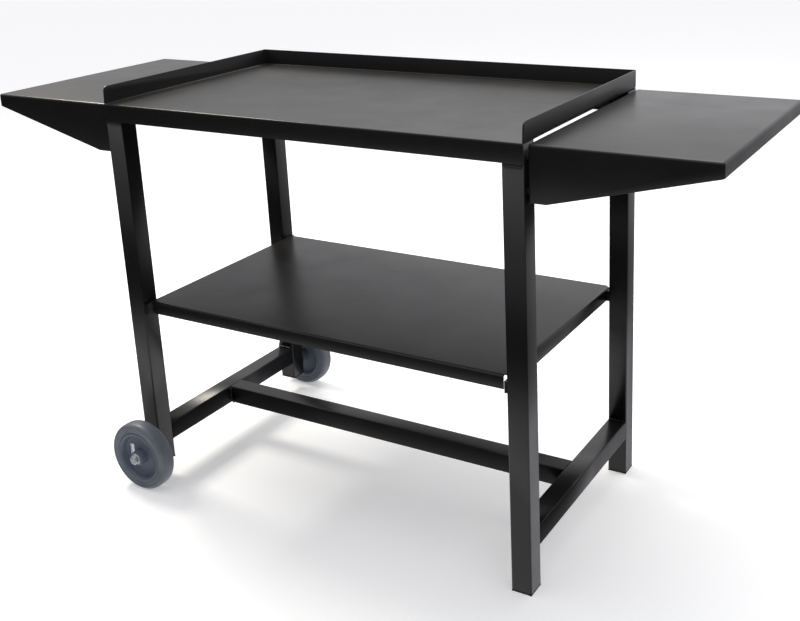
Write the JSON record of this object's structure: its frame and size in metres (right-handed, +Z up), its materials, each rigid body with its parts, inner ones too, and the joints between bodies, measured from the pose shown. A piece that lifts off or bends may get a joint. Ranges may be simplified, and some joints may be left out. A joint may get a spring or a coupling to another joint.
{
  "type": "griddle stand trolley",
  "caption": "Two-wheeled black steel stand for a table-top griddle: rimmed tray, square-tube legs, sheet shelf, bottom stretcher and a side tablet with sloping cheeks at each end.",
  "frame": {"origin": "on the floor, under the middle of the stand", "axes": "+X along the stand, away from the wheeled end; +Y to the rear, where the tray has its long rim; +Z up"},
  "size_m": [1.557, 0.6226, 0.862],
  "materials": {
    "black_powder_coat": "satin black powder coat with a fine texture",
    "black_plastic": "moulded black polyethylene, matte",
    "zinc_plated_steel": "bright zinc plate",
    "tyre_rubber": "blue-grey solid rubber, matte",
    "rim_plastic": "moulded blue-grey polypropylene",
    "bush_plastic": "moulded grey nylon",
    "label_paper": "matte white paper label, blank"
  },
  "bodies": {
    "stand": {"leg_front_left": "black_powder_coat", "leg_front_right": "black_powder_coat", "leg_rear_left": "black_powder_coat", "leg_rear_right": "black_powder_coat", "foot_front_left": "black_plastic", "foot_front_right": "black_plastic", "foot_rear_left": "black_plastic", "foot_rear_right": "black_plastic", "top_rail_rear": "black_powder_coat", "bottom_rail_left": "black_powder_coat", "bottom_rail_right": "black_powder_coat", "stretcher": "black_powder_coat", "leg_top_welds": "black_powder_coat", "top_rail_welds": "black_powder_coat", "bottom_rail_welds": "black_powder_coat", "stretcher_welds": "black_powder_coat", "tray_welds": "black_powder_coat", "tray": "black_powder_coat", "shelf": "black_powder_coat", "shelf_lugs": "black_powder_coat", "shelf_bolts": "zinc_plated_steel", "tablet_left": "black_powder_coat", "tablet_right": "black_powder_coat", "tablet_bolts_left": "zinc_plated_steel", "tablet_bolts_right": "zinc_plated_steel", "tablet_washers": "zinc_plated_steel", "tablet_spacers_left": "black_plastic", "tablet_spacers_right": "black_plastic", "rivet_nuts": "zinc_plated_steel", "front_axle_bolt": "zinc_plated_steel", "front_axle_washers": "zinc_plated_steel", "front_axle_spacer": "zinc_plated_steel", "front_axle_nut": "zinc_plated_steel", "rear_axle_bolt": "zinc_plated_steel", "rear_axle_washers": "zinc_plated_steel", "rear_axle_spacer": "zinc_plated_steel", "rear_axle_nut": "zinc_plated_steel"},
    "front_wheel": {"front_tyre": "tyre_rubber", "front_rim": "rim_plastic", "front_bush": "bush_plastic", "wheel_label": "label_paper"},
    "rear_wheel": {"rear_tyre": "tyre_rubber", "rear_rim": "rim_plastic", "rear_bush": "bush_plastic"}
  },
  "joints": [
    {"name": "front_wheel_spin", "type": "hinge", "parent": "stand", "child": "front_wheel", "pos_m": [-0.44, -0.281, 0.075], "axis": [0, 1, 0], "continuous": true},
    {"name": "rear_wheel_spin", "type": "hinge", "parent": "stand", "child": "rear_wheel", "pos_m": [-0.44, 0.281, 0.075], "axis": [0, 1, 0], "continuous": true}
  ]
}
